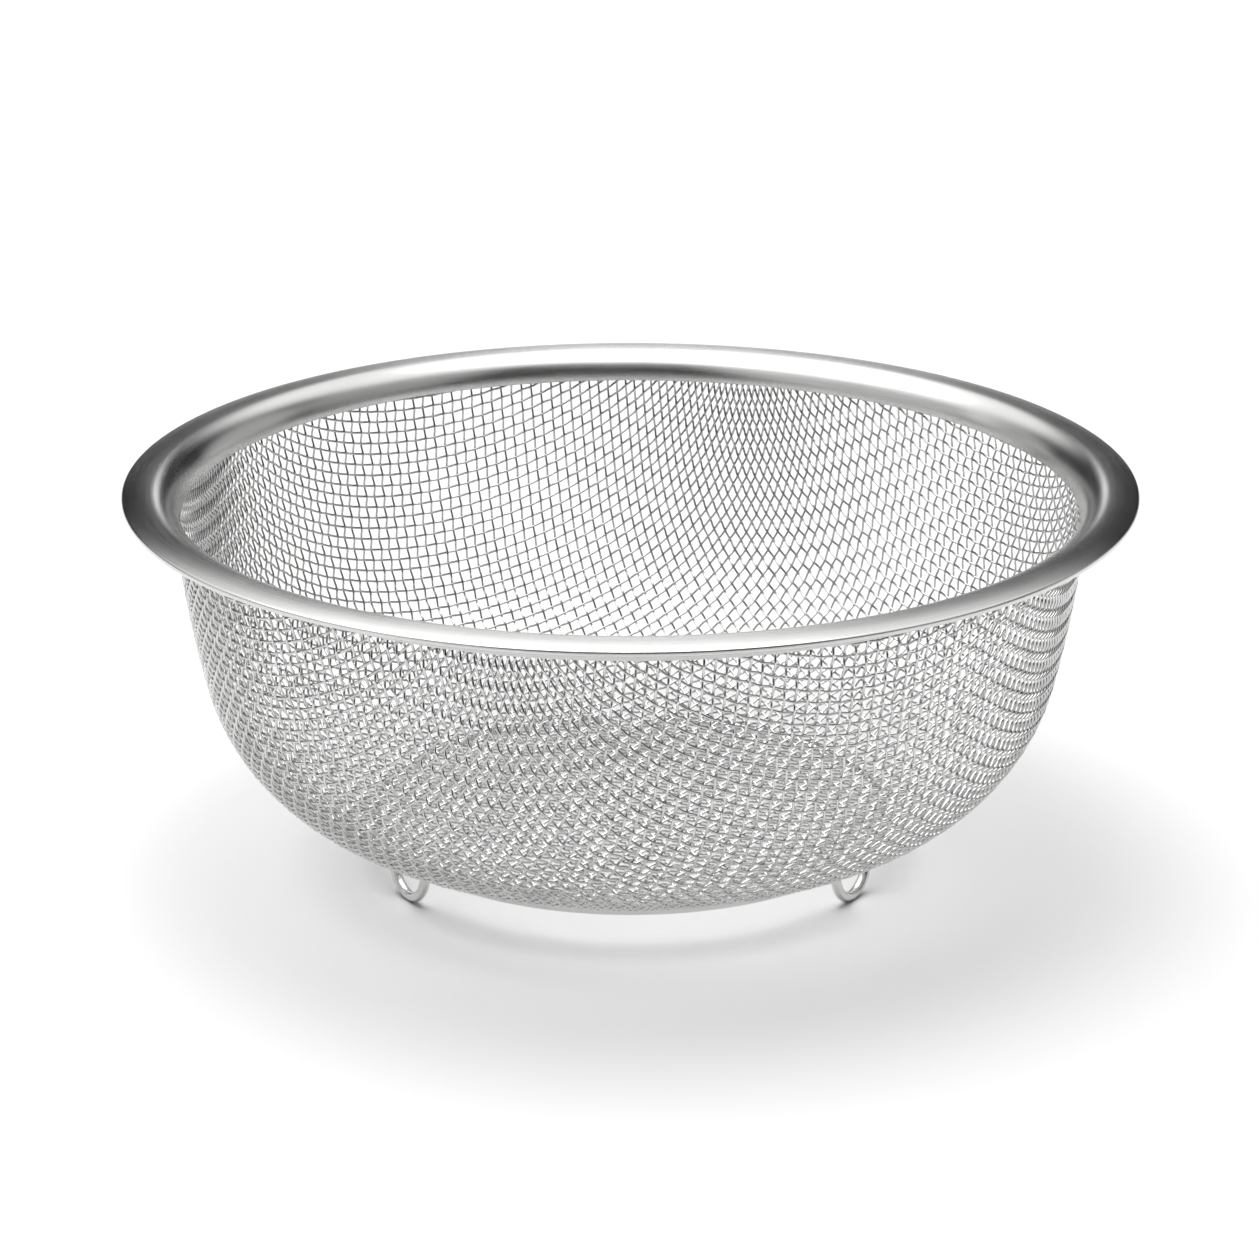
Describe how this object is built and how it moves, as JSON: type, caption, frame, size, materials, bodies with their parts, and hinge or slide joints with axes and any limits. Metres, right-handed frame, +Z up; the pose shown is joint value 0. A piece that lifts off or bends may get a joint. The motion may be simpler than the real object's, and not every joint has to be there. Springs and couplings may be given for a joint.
{
  "type": "mesh strainer bowl",
  "caption": "Round kitchen strainer bowl of woven stainless wire with a flared brushed rim and a bent wire foot, for draining and rinsing food.",
  "frame": {"origin": "on the floor under the middle of the bowl", "axes": "+Z up through the bowl's mouth; -Y is the front, between two of the foot's loops"},
  "size_m": [0.22, 0.22, 0.0871],
  "materials": {
    "rim_steel": "satin, brushed round the rim",
    "clamp_steel": "plain rolled sheet",
    "cloth_steel": "bright drawn wire, woven",
    "foot_steel": "polished wire"
  },
  "bodies": {
    "root": {"rim_flange": "rim_steel", "rim_clamp_ring": "clamp_steel", "mesh_bowl": "cloth_steel", "foot_wire": "foot_steel"}
  },
  "joints": []
}
